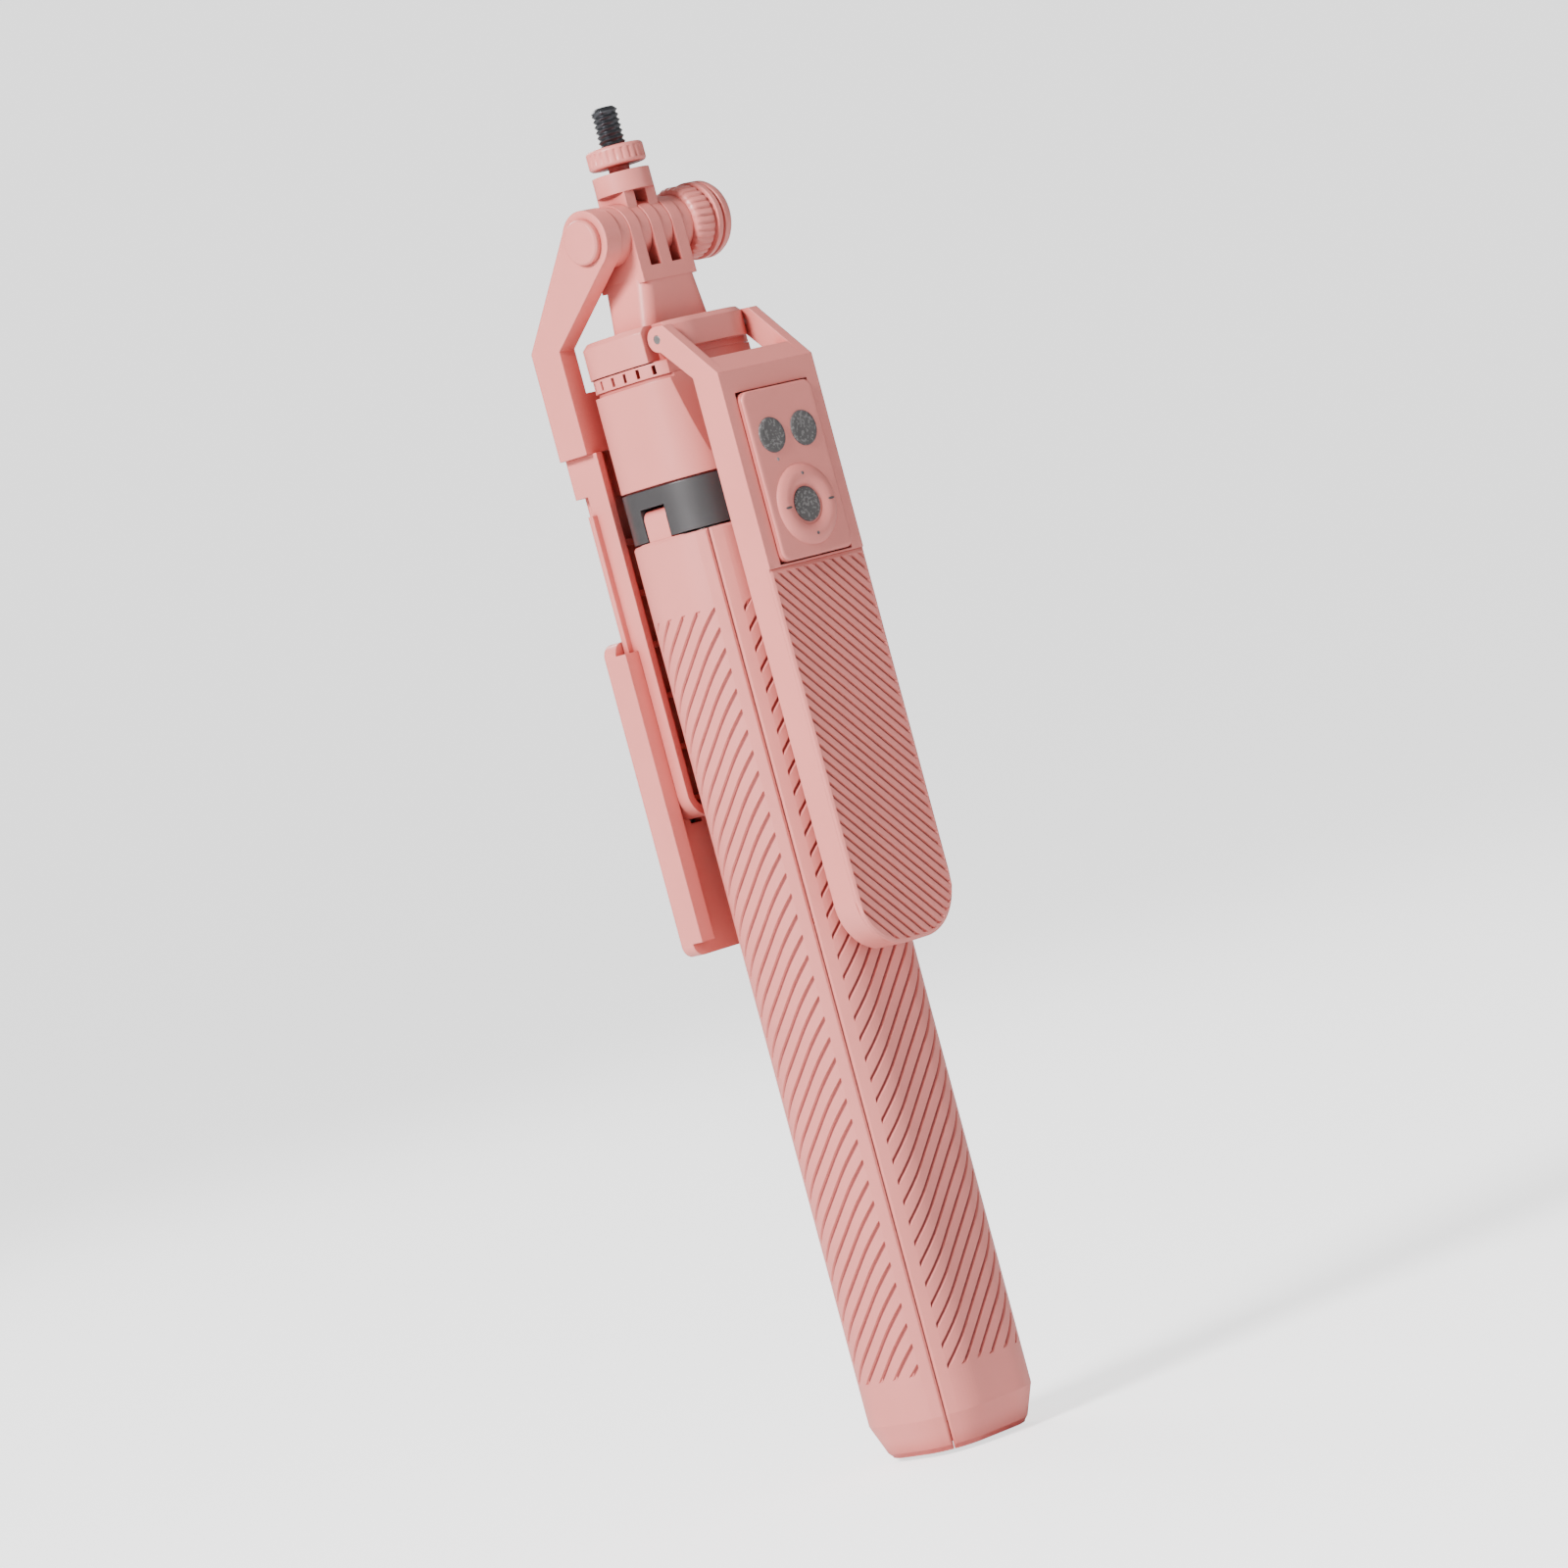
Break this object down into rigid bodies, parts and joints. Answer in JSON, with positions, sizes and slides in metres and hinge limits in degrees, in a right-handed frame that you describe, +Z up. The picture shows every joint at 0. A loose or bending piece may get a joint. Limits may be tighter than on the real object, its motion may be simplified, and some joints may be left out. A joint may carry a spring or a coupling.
{
  "type": "folding tripod selfie stick",
  "caption": "Pocket folding selfie stick with tripod legs, telescopic tube, flip-out handle with a button remote, tilting screw mount and a folding phone clamp.",
  "frame": {"origin": "middle of the base, on the column's axis", "axes": "+Z up the stick, -Y towards the handle and remote, +Y towards the phone clamp"},
  "size_m": [0.043, 0.0575, 0.3195],
  "materials": {
    "pink_shell": "matt moulded pink",
    "hub_grey": "satin gunmetal",
    "tube": "anodised",
    "steel": "satin",
    "stud_dark": "black oxide",
    "bush": "natural",
    "pad_rubber": "matt",
    "button_grey": "speckled",
    "board": "solder mask",
    "light_pipe": "clear"
  },
  "bodies": {
    "column": {"hub": "hub_grey", "leg_hinge_pins": "steel", "upper_sleeve": "pink_shell", "slotted_ring": "pink_shell", "collar": "pink_shell", "tube_outer": "tube", "guide_bush_1": "bush", "arm_hinge_pin": "steel"},
    "leg_left_body": {"leg_left": "pink_shell"},
    "leg_right_body": {"leg_right": "pink_shell"},
    "leg_front_body": {"leg_front": "pink_shell"},
    "leg_back_body": {"leg_back": "pink_shell"},
    "stage_1": {"tube_stage_1": "tube", "slip_ring_1": "bush", "guide_bush_2": "bush"},
    "stage_2": {"tube_stage_2": "tube", "slip_ring_2": "bush", "guide_bush_3": "bush"},
    "stage_3": {"tube_stage_3": "tube", "slip_ring_3": "bush", "guide_bush_4": "bush"},
    "stage_4": {"tube_stage_4": "tube", "slip_ring_4": "bush", "guide_bush_5": "bush"},
    "stage_5": {"tube_stage_5": "tube", "slip_ring_5": "bush", "neck": "pink_shell", "pivot_screw": "steel", "washer_left": "pink_shell", "washer_right": "pink_shell"},
    "knob_body": {"knob": "pink_shell"},
    "adapter_body": {"adapter": "pink_shell"},
    "camera_screw": {"stud": "stud_dark", "thumb_nut": "pink_shell"},
    "clamp_body": {"clamp_link": "pink_shell", "clamp_frame": "pink_shell", "clamp_screws": "steel", "jaw_springs": "steel", "top_lip_pin": "steel"},
    "jaw_body": {"jaw": "pink_shell", "jaw_lip_pin": "steel"},
    "jaw_lip_body": {"jaw_lip": "pink_shell", "jaw_lip_pad": "pad_rubber"},
    "top_lip_body": {"top_lip": "pink_shell", "top_lip_pad": "pad_rubber"},
    "arm_body": {"arm_frame": "pink_shell", "grip_cover": "pink_shell", "arm_back_cover": "pink_shell", "cover_screws": "steel"},
    "remote_body": {"remote_front": "pink_shell", "remote_back": "pink_shell", "circuit_board": "board", "dome_switches": "steel", "coin_cell": "steel", "cell_contact": "steel", "led_pipe": "light_pipe"},
    "button_left_body": {"button_left": "button_grey"},
    "button_right_body": {"button_right": "button_grey"},
    "ring_pad_body": {"ring_pad": "pink_shell"},
    "shutter_body": {"shutter_button": "button_grey"}
  },
  "joints": [
    {"name": "leg_left_fold", "type": "hinge", "parent": "column", "child": "leg_left_body", "pos_m": [-0.0155, 0, 0.224], "axis": [0, 1, 0], "range_deg": [0, 65]},
    {"name": "leg_right_fold", "type": "hinge", "parent": "column", "child": "leg_right_body", "pos_m": [0.0155, 0, 0.224], "axis": [0, -1, 0], "range_deg": [0, 65]},
    {"name": "leg_front_fold", "type": "hinge", "parent": "column", "child": "leg_front_body", "pos_m": [0, -0.0132, 0.224], "axis": [-1, 0, 0], "range_deg": [0, 65]},
    {"name": "leg_back_fold", "type": "hinge", "parent": "column", "child": "leg_back_body", "pos_m": [0, 0.0132, 0.224], "axis": [1, 0, 0], "range_deg": [0, 65]},
    {"name": "stage_1_slide", "type": "slide", "parent": "column", "child": "stage_1", "axis": [0, 0, 1], "range_m": [0, 0.19]},
    {"name": "stage_2_slide", "type": "slide", "parent": "stage_1", "child": "stage_2", "axis": [0, 0, 1], "range_m": [0, 0.19]},
    {"name": "stage_3_slide", "type": "slide", "parent": "stage_2", "child": "stage_3", "axis": [0, 0, 1], "range_m": [0, 0.19]},
    {"name": "stage_4_slide", "type": "slide", "parent": "stage_3", "child": "stage_4", "axis": [0, 0, 1], "range_m": [0, 0.19]},
    {"name": "stage_5_slide", "type": "slide", "parent": "stage_4", "child": "stage_5", "axis": [0, 0, 1], "range_m": [0, 0.19]},
    {"name": "knob_turn", "type": "hinge", "parent": "stage_5", "child": "knob_body", "pos_m": [0, 0, 0.2898], "axis": [1, 0, 0], "continuous": true},
    {"name": "adapter_tilt", "type": "hinge", "parent": "stage_5", "child": "adapter_body", "pos_m": [0, 0, 0.2898], "axis": [1, 0, 0], "range_deg": [-90, 90]},
    {"name": "camera_screw_turn", "type": "hinge", "parent": "adapter_body", "child": "camera_screw", "pos_m": [0, 0, 0.307], "axis": [0, 0, 1], "continuous": true},
    {"name": "clamp_swing", "type": "hinge", "parent": "stage_5", "child": "clamp_body", "pos_m": [0, 0, 0.2898], "axis": [1, 0, 0], "range_deg": [0, 180]},
    {"name": "jaw_slide", "type": "slide", "parent": "clamp_body", "child": "jaw_body", "axis": [0, 0, -1], "range_m": [0, 0.03], "stiffness_N_per_m": 150, "springref_m": -0.01, "deforming": ["jaw_springs"]},
    {"name": "jaw_lip_fold", "type": "hinge", "parent": "jaw_body", "child": "jaw_lip_body", "pos_m": [0, 0.0256, 0.1295], "axis": [-1, 0, 0], "range_deg": [0, 90]},
    {"name": "top_lip_fold", "type": "hinge", "parent": "clamp_body", "child": "top_lip_body", "pos_m": [0, 0.0256, 0.236], "axis": [1, 0, 0], "range_deg": [0, 90]},
    {"name": "arm_fold", "type": "hinge", "parent": "column", "child": "arm_body", "pos_m": [0, -0.0132, 0.2634], "axis": [-1, 0, 0], "range_deg": [0, 110]},
    {"name": "remote_pull", "type": "slide", "parent": "arm_body", "child": "remote_body", "axis": [0, -1, 0], "range_m": [0, 0.012]},
    {"name": "button_left_press", "type": "slide", "parent": "remote_body", "child": "button_left_body", "axis": [0, 1, 0], "range_m": [0, 0.0004], "stiffness_N_per_m": 600, "springref_m": -0.0006},
    {"name": "button_right_press", "type": "slide", "parent": "remote_body", "child": "button_right_body", "axis": [0, 1, 0], "range_m": [0, 0.0004], "stiffness_N_per_m": 600, "springref_m": -0.0006},
    {"name": "ring_pad_press", "type": "slide", "parent": "remote_body", "child": "ring_pad_body", "axis": [0, 1, 0], "range_m": [0, 0.0004], "stiffness_N_per_m": 600, "springref_m": -0.0006},
    {"name": "shutter_press", "type": "slide", "parent": "remote_body", "child": "shutter_body", "axis": [0, 1, 0], "range_m": [0, 0.0004], "stiffness_N_per_m": 600, "springref_m": -0.0006}
  ],
  "couplings": [
    {"joint": "leg_front_fold", "follows": "arm_fold", "ratio": 0.59},
    {"joint": "leg_back_fold", "follows": "clamp_swing", "ratio": 0.361}
  ]
}
